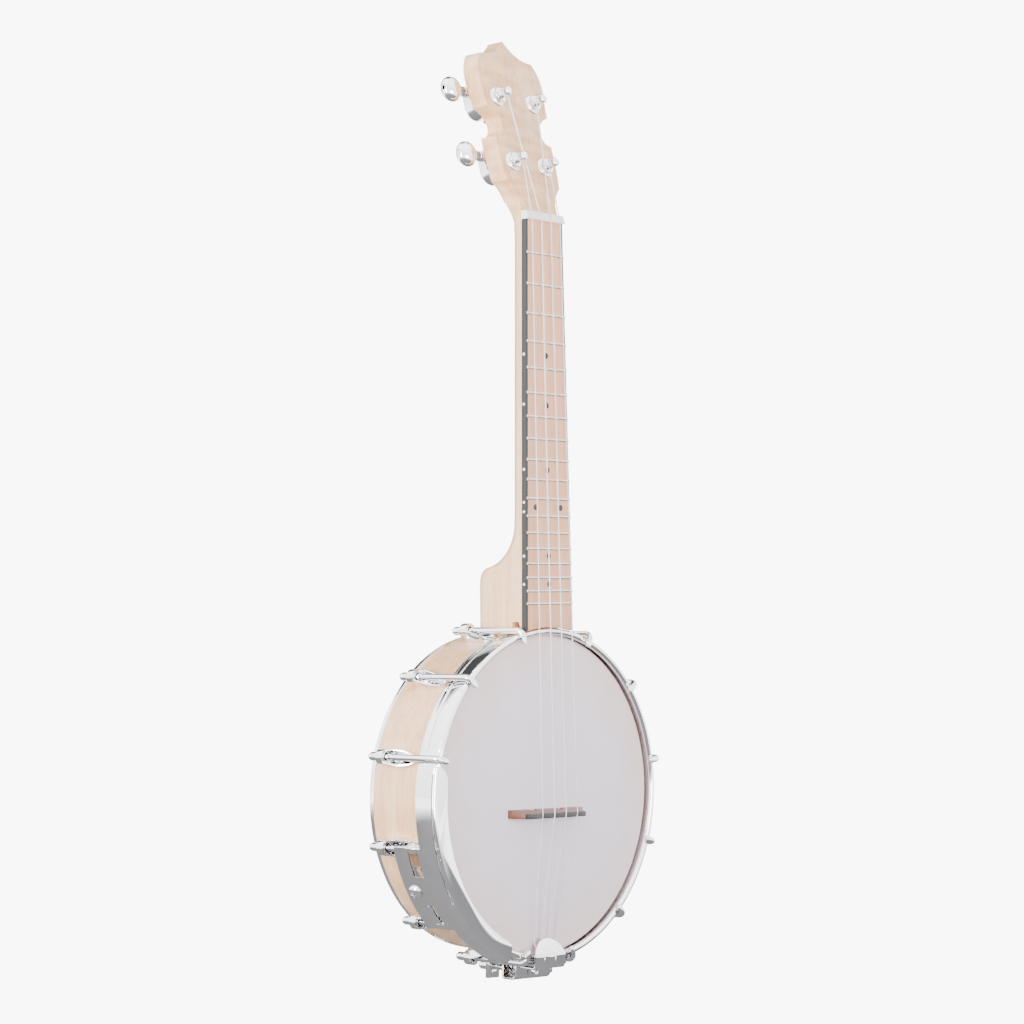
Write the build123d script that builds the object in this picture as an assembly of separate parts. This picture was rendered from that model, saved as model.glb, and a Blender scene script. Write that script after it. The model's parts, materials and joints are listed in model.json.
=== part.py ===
from build123d import *
import os
from math import cos, pi, radians, sin, sqrt, tan

# A concert banjo-ukulele, standing upright: +Z runs up the neck, the drum head faces -Y,
# and +X is on the right seen from the front. Millimetres. z = 0 is the edge of the nut
# that faces the frets, and y = 0 is the playing surface of the fretboard.

# ---------------------------------------------------------------- driving dimensions
SCALE_LENGTH = 380.0        # nut to bridge, the concert size
FRET_COUNT = 18
NUT_HALF_WIDTH = 17.5       # half width of the fretboard at the nut
LAST_FRET_HALF_WIDTH = 22.2
FRETBOARD_THICKNESS = 3.8
BINDING_WIDTH = 1.7
NUT_LENGTH = 5.4            # along the strings
NECK_BACK = 20.5            # back of the neck where it starts to sweep into the heel
SINGLE_DOT_FRETS = (5, 7, 10, 15, 17)
DOUBLE_DOT_FRET = 12
DOUBLE_DOT_OFFSET = 12.0
DOT_RADIUS = 2.0
SIDE_DOT_RADIUS = 0.9

POT_Z = -366.9              # height of the drum's centre
RIM_OUTER = 101.6           # an eight inch head
RIM_INNER = 92.0
RIM_FRONT = 8.8
RIM_BACK = 58.4
RING_BACK = 62.1
HEAD_Y = 6.0                # front face of the drum head
HEAD_THICKNESS = 0.3
SKIN_RADIUS = 98.6          # flat part of the head, inside its rolled collar
TONE_RING_RADIUS = 2.3
BEAD_CENTRE = 103.5         # the bead along the front of the tension hoop
BEAD_RADIUS = 2.2
BEAD_Y = 2.9
HOOP_OUTER = 105.6

HOOK_ANGLES = [-15 - 30 * i for i in range(6)] + [21 + 30 * i for i in range(6)]
HOOK_LINE = 107.95          # distance of each hook's straight shank from the drum's axis
HOOK_RADIUS = 2.1
HOOK_NUT_RADIUS = 2.75
NUT_FRONT = 49.0            # where the long nuts bear on their shoes
SHOE_Y = 36.3               # middle of each bracket shoe's foot
BOLT_RADIUS = 2.0

ROD_Y = 38.0                # the coordinator rod runs from heel to tail inside the drum
ROD_RADIUS = 4.5
ROD_THREAD_RADIUS = 3.0

TAIL_ANGLE = 183.4
TAIL_BOLT_LINE = 112.8
CLAMP_INNER = 104.85
CLAMP_OUTER = 105.8
TAIL_SPACING = 7.0
ARMREST_START = -155.4
ARMREST_END = -77.5
ARMREST_INNER = 99.4
ARMREST_OUTER = 111.4
SHEET = 1.0                 # thickness of the pressed armrest and tailpiece cover

HEADSTOCK_TILT = 14.65
HEADSTOCK_FACE_Y = 2.5      # where the headstock's face meets z = 0
HEADSTOCK_THICKNESS = 12.5
HEADSTOCK_START = 12.5      # below this the headstock blends into the neck
POSTS = [(-15.3, 40.0), (-17.0, 85.0), (17.0, 85.0), (15.3, 40.0)]

GEAR_TEETH = 15             # one turn of the post takes fifteen turns of the button
GEAR_MODULE = 0.85
WHEEL_PITCH_RADIUS = GEAR_TEETH * GEAR_MODULE / 2
WORM_PITCH_RADIUS = 3.125
WORM_RISE = WHEEL_PITCH_RADIUS + WORM_PITCH_RADIUS
WORM_LEAD = pi * GEAR_MODULE
ADDENDUM = 0.7
DEDENDUM = 0.85
WHEEL_FACE = 3.0
WORM_DEPTH = -HEADSTOCK_THICKNESS - 5.6
BARREL_RADIUS = 4.3
SCREW_RADIUS = 0.9
SCREW_TIP = -5.4
LUG_DROP = 10.6             # the housing's screw lies this far below its post
HOUSING_RADIUS = 8.3
HOUSING_WALL = 1.0
HOUSING_BACK = -HEADSTOCK_THICKNESS - 10.7
SHAFT_RADIUS = 1.9
POST_RADIUS = 2.9
POST_WAIST = 2.3
BUTTON_REACH = 22.3         # from the post's axis out to the button's middle
BUTTON_SIZE = (15.0, 17.1, 11.6)
RUNNING_GAP = 0.06

BRIDGE_TOP_Y = -6.6
BRIDGE_X = -1.5
BRIDGE_BACK = -381.6        # tail side of the bridge before it is slanted
BRIDGE_SLANT = 2.2          # the thin-string end stands nearer the tail
BRIDGE_LENGTH = 68.0
CAP_X = -3.0
CAP_LENGTH = 56.4
CAP_HEIGHT = 1.3
CAP_WIDTH = 3.3
STRING_RADII = [0.31, 0.46, 0.41, 0.36]
NUT_SPACING = 9.0
BRIDGE_SPACING = 11.1
STRING_NUT_Y = -1.75
STRING_CLEARANCE = 0.05
WRAP_TURNS = 2.5
WRAP_START = 6.3            # height of the first wrap above the headstock's face


# ---------------------------------------------------------------- helpers
def fret_z(number):
    return -SCALE_LENGTH * (1 - 2 ** (-number / 12))


def board_half_width(z):
    return NUT_HALF_WIDTH + (LAST_FRET_HALF_WIDTH - NUT_HALF_WIDTH) * z / fret_z(FRET_COUNT)


def radial_plane(angle):
    """X points out from the drum's axis at a clockwise angle from the top, Z to the back."""
    a = radians(angle)
    return Plane(origin=(0, 0, POT_Z), x_dir=(sin(a), 0, cos(a)), z_dir=(0, 1, 0))


def headstock_plane():
    """X to the right, Y up the headstock, Z out of its face."""
    t = radians(HEADSTOCK_TILT)
    return Plane(origin=(0, HEADSTOCK_FACE_Y, 0), x_dir=(1, 0, 0), z_dir=(0, -cos(t), sin(t)))


def polygon(points):
    return make_face(Polyline(*points, close=True))


def side_prism(points, low_x, high_x):
    """Prism along X from an outline of (y, z) points."""
    return extrude(Plane.YZ.offset(low_x) * polygon(points), amount=high_x - low_x)


def front_prism(points, low_y, high_y):
    """Prism along Y from an outline of (x, z) points."""
    return extrude(Plane.XZ.offset(-high_y) * polygon(points), amount=high_y - low_y)


def bored(radius, low, high, x=0.0, y=0.0):
    """Cylinder along Z between two heights."""
    return Pos(x, y, (low + high) / 2) * Cylinder(radius, high - low)


def band(r_low, r_high, y_low, y_high):
    """Rectangle in the drum's (R, y) section."""
    middle = Pos((r_low + r_high) / 2, (y_low + y_high) / 2)
    return middle * Rectangle(r_high - r_low, y_high - y_low)


def drum_ring(face, start=0, arc=360):
    """Turn an (R, y) section about the drum's axis, clockwise from a start angle."""
    return radial_plane(start) * revolve(Plane.XZ * face, axis=Axis.Z, revolution_arc=arc)


def drum_sector(r_low, r_high, y_low, y_high, start, end):
    return drum_ring(band(r_low, r_high, y_low, y_high), start, end - start)


def drum_cylinder(radius, y_low, y_high):
    return radial_plane(0) * bored(radius, y_low, y_high)


def radial_cylinder(angle, radius, r_low, r_high, y, offset=0.0):
    """Cylinder whose axis points out from the drum's axis."""
    spoke = Plane(origin=(r_low, offset, y), x_dir=(0, 1, 0), z_dir=(1, 0, 0))
    solid = Cylinder(radius, r_high - r_low, align=(Align.CENTER, Align.CENTER, Align.MIN))
    return radial_plane(angle) * (spoke * solid)


def group(solids):
    """Keep separate solids together in one node."""
    return Compound(children=list(solids))


def sheet_metal(points, radii, thickness, half_width):
    """Bent strip: an (R, y) centre line with a radius at each bend, spread along the rim."""
    strip = trace(FilletPolyline(*points, radius=radii), line_width=thickness)
    return extrude(Plane.XZ * strip, amount=half_width, both=True)


# ---------------------------------------------------------------- neck and headstock
def neck_section(z, half_width, top, bottom, fullness):
    """Flat-topped D section; a higher fullness (up to 1) squares its corners."""
    depth = bottom - top
    right = Bezier((half_width, top), (half_width, top + fullness * depth),
                   (fullness * half_width, bottom), (0, bottom))
    left = Bezier((0, bottom), (-fullness * half_width, bottom),
                  (-half_width, top + fullness * depth), (-half_width, top))
    return Pos(0, 0, z) * make_face(Curve() + [right, left, Line((-half_width, top), (half_width, top))])


def headstock_outline():
    right = [
        Line((17.75, HEADSTOCK_START), (17.8, 13.5)),
        ThreePointArc((17.8, 13.5), (20.6, 20), (25.7, 26)),
        ThreePointArc((25.7, 26), (26.9, 40), (26.8, 56.3)),
        Spline((26.8, 56.3), (21.7, 57.9), (18.5, 64.5), (20.6, 71.0), (26.1, 75.5), (29.4, 77)),
        Spline((29.4, 77), (30.1, 90), (30.7, 100), (28.4, 108.5), (24.5, 115)),
        Spline((24.5, 115), (17.7, 115.6), (11.4, 117.6), (5.4, 121.6), (0, 127.2)),
    ]
    left = [mirror(edge, about=Plane.YZ) for edge in right]
    return make_face(Curve() + right + left + Line((-17.75, HEADSTOCK_START), (17.75, HEADSTOCK_START)))


def neck_stations():
    """z, half width, top, back and fullness of each section, from headstock to heel."""
    top = FRETBOARD_THICKNESS
    heel_top = -193.0
    cove = 30.0
    slope = tan(radians(HEADSTOCK_TILT))
    rows = [(z, half, HEADSTOCK_FACE_Y + z * slope, HEADSTOCK_FACE_Y + z * slope + depth, fullness)
            for z, half, depth, fullness in ((13.5, 17.75, 12.9, 1.25), (10, 17.7, 13.3, 1.12),
                                             (6, 17.6, 14.6, 0.85))]
    rows += [(0, 17.5, top, 18.9, 0.6), (-12, board_half_width(-12), top, 19.0, 0.552)]
    for drop in (0, 5, 10, 14, 17.5, 20.5, 23, 25, 26.6, 28):
        back = NECK_BACK + cove - sqrt(cove ** 2 - drop ** 2)
        z = heel_top - drop
        rows.append((z, board_half_width(z), top, back, 0.552 + 0.28 * (drop / cove) ** 2))
    for z, back in ((-222.6, 45.0), (-224, 47.6), (-226.4, 49.6), (-230, 50.7), (-236, 51), (-270, 51)):
        rows.append((z, min(22.1, board_half_width(z)), top, back, 0.85))
    return rows


def make_heel(sections):
    """Heel ending against the rim, relieved for the tension hoop, its lip and the rod's thread."""
    heel = loft(sections, ruled=True)
    heel -= drum_cylinder(RIM_OUTER + 0.05, -10, 80)
    heel -= drum_cylinder(HOOP_OUTER + 0.6, -10, 20.6)
    notch = [(7, -257.1), (12.3, -257.1), (12.3, -270), (3, -270), (4.4, -262.6)]
    heel -= side_prism(notch, -40, 40)
    return heel - bored(ROD_THREAD_RADIUS, POT_Z + 95, POT_Z + RIM_OUTER + 20, 0, ROD_Y)


def make_headstock(root):
    """Headstock joined to the root of the neck, with a flat for the nut and holes for the tuners."""
    depth = HEADSTOCK_THICKNESS / cos(radians(HEADSTOCK_TILT))
    # The outline is sawn square to the fretboard, so its sides run straight back.
    head = extrude(headstock_plane() * headstock_outline(), amount=depth, dir=(0, 1, 0))
    head += root
    seat = [(-30, -10), (30, -10), (30, NUT_LENGTH), (-30, NUT_LENGTH)]
    head -= front_prism(seat, -8, FRETBOARD_THICKNESS)
    for u, v in POSTS:
        head -= headstock_plane() * bored(BARREL_RADIUS, -20, 5, u, v)
        head -= headstock_plane() * bored(SCREW_RADIUS, -20, SCREW_TIP, u, v - LUG_DROP)
    return head


def make_neck():
    sections = [neck_section(*row) for row in neck_stations()]
    root_end, heel_start = 3, 5
    shaft = loft(sections[root_end:heel_start + 1], ruled=True)
    head = make_headstock(loft(sections[:root_end + 1], ruled=True))
    return shaft + make_heel(sections[heel_start:]) + head


# ---------------------------------------------------------------- fretboard
def board_outline(inset, end_z=-264.0):
    near = NUT_HALF_WIDTH - inset
    far = board_half_width(end_z) - inset
    return [(-near, 0), (near, 0), (far, end_z), (-far, end_z)]


def trimmed_to_hoop(solid):
    return solid - drum_cylinder(HOOP_OUTER + 0.5, -10, 20)


def make_fretboard():
    board = front_prism(board_outline(BINDING_WIDTH), 0, FRETBOARD_THICKNESS)
    board = trimmed_to_hoop(board)
    for number in range(1, FRET_COUNT + 1):
        board -= fret_tang(number)
    for dot in face_dots():
        board -= dot
    return board


def make_binding():
    whole = front_prism(board_outline(0), 0, FRETBOARD_THICKNESS)
    inner = front_prism(board_outline(BINDING_WIDTH), -1, FRETBOARD_THICKNESS + 1)
    strips = trimmed_to_hoop(whole - inner)
    for dot in side_dots():
        strips -= dot
    return strips


def fret_tang(number):
    z = fret_z(number)
    half = board_half_width(z) - BINDING_WIDTH - 0.05
    return Pos(0, 0.8, z) * Box(2 * half, 1.6, 0.6)


def make_fret(number):
    z = fret_z(number)
    half = board_half_width(z) - 0.35
    crown = make_face(Curve() + ThreePointArc((0, z - 0.95), (-1.0, z), (0, z + 0.95))
                      + Line((0, z + 0.95), (0, z - 0.95)))
    return extrude(Plane.YZ.offset(-half) * crown, amount=2 * half) + fret_tang(number)


def dot_places():
    """x and z of each position dot, midway between its fret and the one before."""
    places = []
    for number in sorted(SINGLE_DOT_FRETS + (DOUBLE_DOT_FRET,)):
        z = (fret_z(number) + fret_z(number - 1)) / 2
        double = number == DOUBLE_DOT_FRET
        places += [(x, z) for x in ((-DOUBLE_DOT_OFFSET, DOUBLE_DOT_OFFSET) if double else (0,))]
    return places


def face_dots():
    return [Pos(x, 0.6, z) * Rot(90, 0, 0) * Cylinder(DOT_RADIUS, 1.2) for x, z in dot_places()]


def side_dots():
    """Small dots along the binding on the left; the double dot is a pair along the neck."""
    dots = []
    for x, z in dot_places():
        place = z + x / 4
        edge = -board_half_width(place)
        dots.append(Pos(edge + 0.55, 1.9, place) * Rot(0, 90, 0) * Cylinder(SIDE_DOT_RADIUS, 1.3))
    return dots


def make_nut():
    outline = [(FRETBOARD_THICKNESS, 0), (-2.1, 0), (-2.0, 1.3), (-0.3, NUT_LENGTH),
               (FRETBOARD_THICKNESS, NUT_LENGTH)]
    nut = side_prism(outline, -NUT_HALF_WIDTH - 0.4, NUT_HALF_WIDTH + 0.4)
    nut = fillet(nut.edges().filter_by(Axis.X).group_by(Axis.Y)[0], 0.4)
    for index in range(4):
        nut -= make_string(index, STRING_CLEARANCE)
    return nut


# ---------------------------------------------------------------- strings
def tail_point(index, radius, y):
    """A point under the tailpiece cover on one string's line."""
    across = -(index - 1.5) * TAIL_SPACING
    return radial_plane(TAIL_ANGLE).from_local_coords((radius, across, y))


def string_route(index):
    """Corners of a string's path from its ball at the tail up to its post."""
    radius = STRING_RADII[index]
    offset = index - 1.5
    u, v = POSTS[(0, 1, 2, 3)[index]]
    wrap = POST_WAIST + radius + STRING_CLEARANCE
    inner_side = u + wrap if u < 0 else u - wrap
    arrival = headstock_plane().from_local_coords((inner_side, v, WRAP_START))
    return [
        tail_point(index, 108.1, 0.1),
        tail_point(index, 101.0, -0.35),
        tail_point(index, 91.0, 3.25),
        Vector(offset * BRIDGE_SPACING, BRIDGE_TOP_Y - radius + 0.12, -SCALE_LENGTH),
        Vector(offset * NUT_SPACING, STRING_NUT_Y, 0.8),
        arrival,
    ]


def make_string(index, extra=0.0):
    """A string, or with some extra radius the room that it needs in a slot."""
    radius = STRING_RADII[index] + extra
    route = FilletPolyline(*string_route(index), radius=[2, 8, 6, 6])
    string = sweep(Plane(origin=route @ 0, z_dir=route % 0) * Circle(radius), path=route)
    if extra:
        return string
    string += Pos(*string_route(index)[0]) * Sphere(0.55)
    string += Pos(*string_route(index)[-1]) * Sphere(radius + 0.03)
    u, v = POSTS[index]
    pitch = 2 * radius + 0.05
    turns = Helix(pitch=pitch, height=WRAP_TURNS * pitch, radius=POST_WAIST + radius + STRING_CLEARANCE)
    coil = sweep(Plane(origin=turns @ 0, z_dir=turns % 0) * Circle(radius), path=turns)
    coil = Pos(0, 0, WRAP_START) * coil
    if u > 0:
        coil = mirror(coil, about=Plane.YZ)
    return string + headstock_plane() * (Pos(u, v, 0) * coil)


# ---------------------------------------------------------------- tuning machines
def housing_outline(grow):
    """Round about the post and square about the worm."""
    radius = HOUSING_RADIUS + grow
    top = WORM_RISE + 4.8 + grow
    block = Pos(0, top / 2) * Rectangle(2 * radius, top)
    block = fillet(block.vertices().group_by(Axis.Y)[-1], 3.0)
    return Circle(radius) + block


def make_housing(out):
    """Gear case about a post at the origin; out is -1 or 1, the side of its button."""
    depth = -HEADSTOCK_THICKNESS - HOUSING_BACK
    case = Pos(0, 0, HOUSING_BACK) * extrude(housing_outline(0), amount=depth)
    case = fillet(case.edges().group_by(Axis.Z)[0], 2.6)
    lug = Pos(0, -LUG_DROP) * Circle(2.9) + Pos(0, -LUG_DROP / 2) * Rectangle(5.8, LUG_DROP)
    case += Pos(0, 0, -HEADSTOCK_THICKNESS - 1.5) * extrude(lug, amount=1.5)
    room = WHEEL_PITCH_RADIUS + ADDENDUM + 0.2
    case -= bored(room, HOUSING_BACK + 1.3, -HEADSTOCK_THICKNESS - HOUSING_WALL)
    worm_room = Pos(0, WORM_RISE, WORM_DEPTH) * Rot(0, 90, 0) * Cylinder(4.1, 13.2)
    case -= worm_room
    case -= Pos(out * 7.0, WORM_RISE, WORM_DEPTH) * Rot(0, 90, 0) * Cylinder(SHAFT_RADIUS + RUNNING_GAP, 6)
    case -= Pos(-out * 7.0, WORM_RISE, WORM_DEPTH) * Rot(0, 90, 0) * Cylinder(1.2 + RUNNING_GAP, 2)
    collar = Pos(out * (HOUSING_RADIUS + 0.7), WORM_RISE, WORM_DEPTH) * Rot(0, 90, 0)
    case += collar * (Cylinder(3.6, 1.4) - Cylinder(SHAFT_RADIUS + RUNNING_GAP, 2))
    case -= bored(POST_RADIUS + RUNNING_GAP, -HEADSTOCK_THICKNESS - 2, -HEADSTOCK_THICKNESS + 1)
    case -= bored(1.2 + RUNNING_GAP, HOUSING_BACK + 0.5, HOUSING_BACK + 2)
    case -= bored(SCREW_RADIUS, -HEADSTOCK_THICKNESS - 2, 0, 0, -LUG_DROP)
    return case


def make_worm(out):
    """Worm and its shaft along X at the origin, with a right-handed thread."""
    turns = 3
    root = WORM_PITCH_RADIUS - DEDENDUM
    tip = WORM_PITCH_RADIUS + ADDENDUM
    start = -turns * WORM_LEAD / 2
    core = bored(root, start - 1.6, -start + 1.6)
    path = Helix(pitch=WORM_LEAD, height=turns * WORM_LEAD, radius=root)
    profile = [(root - 0.3, -0.75), (tip, -0.28), (tip, 0.28), (root - 0.3, 0.75)]
    tooth = Plane.XZ * polygon(profile)
    thread = sweep(tooth, path=path, is_frenet=True)
    # The thread is shifted a quarter turn so that a crest faces the wheel below.
    worm = core + Pos(0, 0, start - WORM_LEAD / 4) * thread
    worm = Rot(0, 90, 0) * worm
    shaft = [bored(SHAFT_RADIUS, 4.0, BUTTON_REACH + 2.5), bored(1.2, -7.9, -4.0)]
    for piece in shaft:
        worm += Rot(0, 90 * out, 0) * piece
    worm -= Rot(0, 90 * out, 0) * bored(0.8, BUTTON_REACH - 4.0, BUTTON_REACH + 3.0)
    return worm


def make_button(out):
    """Oval knob on the worm's shaft, at the shaft's own origin."""
    long_u, long_v, long_w = BUTTON_SIZE
    middle = out * BUTTON_REACH
    knob = scale(Sphere(1), by=(long_u / 2, long_v / 2, long_w / 2))
    flats = Box(long_u, long_v, long_w * 0.86)
    knob = Pos(middle, 0, 0) * (knob & flats)
    neck_start = HOUSING_RADIUS + 1.55
    ferrule = Rot(0, 90 * out, 0) * (bored(3.3, neck_start, BUTTON_REACH - 5.4))
    waist = Rot(0, 90 * out, 0) * Pos(0, 0, neck_start + 2.0) * Torus(3.6, 0.7)
    button = knob + (ferrule - waist)
    button -= Rot(0, 90 * out, 0) * bored(SHAFT_RADIUS, 0, BUTTON_REACH + 2.5)
    # The screw that holds the button sits in a shallow dish in its outer end.
    button -= Rot(0, 90 * out, 0) * bored(2.1, BUTTON_REACH + long_u / 2 - 1.5, BUTTON_REACH + long_u)
    button -= Rot(0, 90 * out, 0) * bored(0.8, BUTTON_REACH, BUTTON_REACH + long_u)
    return button


def make_button_screw(out):
    face = BUTTON_REACH + BUTTON_SIZE[0] / 2 - 1.5
    screw = bored(2.0, face, face + 1.0) + bored(0.8, BUTTON_REACH - 4.0, face)
    screw = fillet(screw.edges().group_by(Axis.Z)[-1], 0.6)
    for turn in (0, 90):
        screw -= Rot(0, 0, turn) * Pos(0, 0, face + 0.8) * Box(2.6, 0.5, 0.6)
    return Rot(0, 90 * out, 0) * screw


def make_wheel():
    """Worm wheel about Z with the middle of a tooth gap on the +Y side."""
    root = WHEEL_PITCH_RADIUS - DEDENDUM
    tip = WHEEL_PITCH_RADIUS + ADDENDUM
    tooth = polygon([(root - 0.3, -0.75), (tip, -0.33), (tip, 0.33), (root - 0.3, 0.75)])
    outline = Circle(root)
    for i in range(GEAR_TEETH):
        outline += Rot(0, 0, 90 + (i + 0.5) * 360 / GEAR_TEETH) * tooth
    blank = Pos(0, 0, WORM_DEPTH - WHEEL_FACE / 2) * extrude(outline, amount=WHEEL_FACE)
    hub = bored(3.4, WORM_DEPTH + WHEEL_FACE / 2, WORM_DEPTH + WHEEL_FACE / 2 + 2.0)
    return blank + hub - bored(2.2, HOUSING_BACK, 0)


def make_post():
    """Capstan about Z: a journal below, the gear seat, the barrel and a waist for the string."""
    profile = [
        (0, HOUSING_BACK + 0.7), (1.2, HOUSING_BACK + 0.7), (1.2, HOUSING_BACK + 1.6),
        (2.2, HOUSING_BACK + 1.6), (2.2, WORM_DEPTH + WHEEL_FACE / 2 + 2.0),
        (POST_RADIUS, WORM_DEPTH + WHEEL_FACE / 2 + 2.0), (POST_RADIUS, 4.9),
        (POST_WAIST, 5.6), (POST_WAIST, 9.0), (POST_RADIUS, 9.8), (POST_RADIUS, 10.4),
        (2.3, 11.0), (0, 11.2),
    ]
    post = revolve(Plane.XZ * polygon(profile), axis=Axis.Z)
    return post - Pos(0, 0, 9.4) * Rot(90, 0, 0) * Cylinder(0.7, 10)


def make_barrel_nut():
    """Threaded sleeve down through the headstock with a hexagonal head on its face."""
    head = Pos(0, 0, 1.3) * extrude(RegularPolygon(5.3, 6), amount=2.2)
    dome = Pos(0, 0, 1.3) * Sphere(5.6) & Pos(0, 0, 4.3) * Box(20, 20, 6)
    head = head & dome
    nut = head + bored(BARREL_RADIUS, -9.0, 1.3)
    return nut - bored(POST_RADIUS + RUNNING_GAP, -12, 8)


def make_tuner_washer():
    profile = [(4.45, 0), (6.7, 0), (6.5, 0.5), (5.9, 1.1), (5.0, 1.3), (4.45, 1.3)]
    return revolve(Plane.XZ * polygon(profile), axis=Axis.Z)


def make_tuner_screw():
    seat = -HEADSTOCK_THICKNESS - 1.5
    screw = bored(SCREW_RADIUS, seat, SCREW_TIP, 0, -LUG_DROP)
    screw += bored(2.0, seat - 1.1, seat, 0, -LUG_DROP)
    screw = fillet(screw.edges().group_by(Axis.Z)[0], 0.7)
    return screw - Pos(0, -LUG_DROP, seat - 1.0) * Box(2.6, 0.5, 0.8)


def at_post(index, solid):
    u, v = POSTS[index]
    return headstock_plane() * (Pos(u, v, 0) * solid)


def at_worm(index, solid):
    return at_post(index, Pos(0, WORM_RISE, WORM_DEPTH) * solid)


def button_side(index):
    return -1 if POSTS[index][0] < 0 else 1


# ---------------------------------------------------------------- drum
def make_rim():
    rim = drum_ring(band(RIM_INNER, RIM_OUTER, RIM_FRONT, RIM_BACK))
    rim -= make_tone_ring()
    for angle in HOOK_ANGLES:
        rim -= radial_cylinder(angle, BOLT_RADIUS, 85, 110, SHOE_Y)
    for angle in (0, 180):
        rim -= radial_cylinder(angle, ROD_THREAD_RADIUS, 85, 110, ROD_Y)
    return rim


def make_tone_ring():
    centre = RIM_OUTER + 0.05 - TONE_RING_RADIUS
    circle = Pos(centre, HEAD_Y + HEAD_THICKNESS + TONE_RING_RADIUS) * Circle(TONE_RING_RADIUS)
    return drum_ring(circle)


def make_drum_head():
    """The flat skin, as far as its collar."""
    return drum_ring(band(0, SKIN_RADIUS, HEAD_Y, HEAD_Y + HEAD_THICKNESS))


def make_head_collar():
    """The head's edge, rolled over the tone ring and drawn down inside the flesh hoop."""
    wall = RIM_OUTER + 0.05
    inner = HEAD_Y + HEAD_THICKNESS
    block = band(0, wall + HEAD_THICKNESS, HEAD_Y, 17.5)
    block = fillet(block.vertices().sort_by_distance((wall + 1, HEAD_Y - 1))[0],
                   TONE_RING_RADIUS + HEAD_THICKNESS)
    core = band(-1, wall, inner, 20)
    core = fillet(core.vertices().sort_by_distance((wall + 1, HEAD_Y - 1))[0], TONE_RING_RADIUS)
    return drum_ring(block - core - band(-1, SKIN_RADIUS, 0, 20))


def make_flesh_hoop():
    hoop = band(RIM_OUTER + 0.4, 104.3, 16.5, 19.7)
    return drum_ring(fillet(hoop.vertices(), 0.5))


def make_tension_hoop():
    """Beaded front edge, plain band, a groove, and a lip that presses on the flesh hoop."""
    section = Pos(BEAD_CENTRE, BEAD_Y) * Circle(BEAD_RADIUS)
    section += band(103.4, HOOP_OUTER, BEAD_Y, 11.2)
    section += band(102.8, 104.8, 4.5, 16.5)
    section += band(103.4, HOOP_OUTER, 12.4, 13.6)
    return drum_ring(section - band(101, RIM_OUTER + 0.5, 5.2, 20))


def make_back_ring():
    ring = band(RIM_INNER - 0.2, RIM_OUTER + 0.15, RIM_BACK, RING_BACK)
    ring = fillet(ring.vertices(), 0.6)
    lip = band(100.5, RIM_OUTER + 0.5, RIM_BACK, RIM_BACK + 1.0)
    return drum_ring(ring + lip)


# ---------------------------------------------------------------- brackets and hooks
def make_shoe(angle):
    """Cast shoe: an oval foot on the rim, a hollow boat-shaped body and a barrel for the nut."""
    half_width, half_length = 5.3, 13.3
    start = RIM_OUTER - 1.5
    foot = Plane(origin=(start, 0, SHOE_Y), x_dir=(0, 1, 0), z_dir=(1, 0, 0))
    body = foot * extrude(scale(Circle(1), by=(half_width, half_length, 1)), amount=9)
    slope = [(90, NUT_FRONT), (90, 22), (RIM_OUTER + 0.9, 22), (HOOK_LINE + 2.4, 43.5),
             (HOOK_LINE + 2.4, NUT_FRONT)]
    body &= extrude(Plane.XZ * polygon(slope), amount=10, both=True)
    hollow = foot * Pos(0, 0, 3.2) * extrude(scale(Circle(1), by=(4.1, 12.0, 1)), amount=12)
    body -= hollow & Pos(105, 0, 33.5) * Box(30, 20, 20)
    body += bored(4.9, 43.5, NUT_FRONT, HOOK_LINE, 0)
    body -= bored(2.5, 15, 60, HOOK_LINE, 0)
    body -= bored(RIM_OUTER, 0, 60)
    shoe = radial_plane(angle) * body
    return shoe - radial_cylinder(angle, BOLT_RADIUS, 90, 110, SHOE_Y)


def make_bracket_bolt(angle):
    """Round-headed screw from inside the rim up into its shoe."""
    shank = radial_cylinder(angle, BOLT_RADIUS, RIM_INNER - 0.5, RIM_OUTER + 1.6, SHOE_Y)
    head = radial_cylinder(angle, 4.0, RIM_INNER - 3.0, RIM_INNER + 1, SHOE_Y)
    shell = drum_cylinder(RIM_INNER, 0, 60)
    slot = radial_plane(angle) * (Pos(RIM_INNER - 3.0, 0, SHOE_Y) * Box(1.6, 1.0, 6.0))
    return (head & shell) + shank - slot


def make_hook(angle):
    """Round hook whose flattened claw wraps the bead of the tension hoop."""
    reach = HOOK_LINE - BEAD_CENTRE
    tip = radians(-120)
    shank = Line((HOOK_LINE, 57), (HOOK_LINE, BEAD_Y))
    claw_end = (BEAD_CENTRE + reach * cos(tip), BEAD_Y + reach * sin(tip))
    claw = ThreePointArc((HOOK_LINE, BEAD_Y), (BEAD_CENTRE, BEAD_Y - reach), claw_end)
    route = Plane.XZ * (shank + claw)
    hook = sweep(Plane(origin=(HOOK_LINE, 0, 57), z_dir=(0, 0, -1)) * Circle(HOOK_RADIUS), path=route)
    hook += Pos(claw_end[0], 0, claw_end[1]) * Sphere(HOOK_RADIUS)
    hook &= Pos(100, 0, 30 - 2.2) * Box(60, 20, 60)
    return radial_plane(angle) * hook


def long_nut(line, bore):
    """Ball-ended nut along the drum's axis direction, at a distance from that axis."""
    nut = bored(HOOK_NUT_RADIUS, NUT_FRONT, 56.0, line)
    nut += Pos(line, 0, 56.0) * Sphere(HOOK_NUT_RADIUS)
    groove = bored(HOOK_NUT_RADIUS + 1, 54.9, 55.4, line) - bored(HOOK_NUT_RADIUS - 0.35, 54, 56, line)
    return nut - groove - bored(bore, NUT_FRONT - 1, 57.0, line) - bored(1.0, 56, 60, line)


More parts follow.
